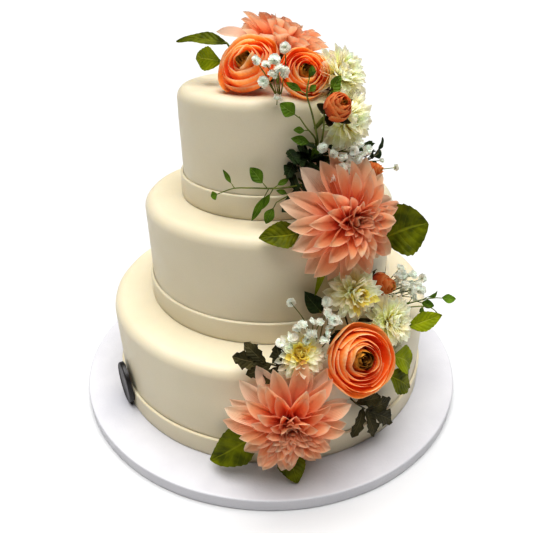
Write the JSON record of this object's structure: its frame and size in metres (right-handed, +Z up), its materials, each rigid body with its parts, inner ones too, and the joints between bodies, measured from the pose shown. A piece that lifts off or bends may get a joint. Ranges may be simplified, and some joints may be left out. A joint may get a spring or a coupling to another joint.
{
  "type": "tiered wedding cake",
  "caption": "Round tiered wedding cake in smooth ivory icing with a flat band round each tier, a cascade of coral, orange and cream flowers and leaves down one side, on a round cake drum",
  "frame": {"origin": "centre of the drum's underside, on the table", "axes": "+Z up along the cake's axis; -Y is the front; the flowers run down the +X side of the front"},
  "size_m": [0.381, 0.381, 0.3403],
  "materials": {
    "drum_foil": "embossed foil-paper wrap, soft satin",
    "icing": "smooth rolled icing, satin",
    "band_icing": "smooth rolled icing, satin",
    "plaque": "moulded, semi-gloss",
    "coral_petals": "veined silk petal",
    "orange_petals": "veined silk petal",
    "cream_petals": "soft silk petal",
    "green_leaves": "veined leaf, satin",
    "dark_leaves": "veined leaf, matt"
  },
  "bodies": {
    "root": {"band_bottom": "band_icing", "band_middle": "band_icing", "band_top": "band_icing", "bud_behind_dahlia": "orange_petals", "bud_top_side": "orange_petals", "bud_under_dahlia": "orange_petals", "cake_drum": "drum_foil", "dahlia_crown": "coral_petals", "dahlia_low": "coral_petals", "dahlia_middle": "coral_petals", "leaf_crown_far": "green_leaves", "leaf_crown_near": "green_leaves", "leaf_foot_front": "dark_leaves", "leaf_foot_left": "green_leaves", "leaf_lobed_left": "dark_leaves", "leaf_lobed_right": "dark_leaves", "leaf_low_right": "green_leaves", "leaf_low_side_lower": "green_leaves", "leaf_low_side_upper": "green_leaves", "leaf_middle_dark": "dark_leaves", "leaf_middle_left": "green_leaves", "leaf_middle_right": "green_leaves", "leaf_middle_stem": "green_leaves", "mum_crown": "cream_petals", "mum_low_left": "cream_petals", "mum_low_right": "cream_petals", "mum_middle": "cream_petals", "mum_top_side": "cream_petals", "plaque": "plaque", "ranunculus_crown_left": "orange_petals", "ranunculus_crown_right": "orange_petals", "ranunculus_low": "orange_petals", "tier_bottom": "icing", "tier_middle": "icing", "tier_top": "icing"}
  },
  "joints": []
}
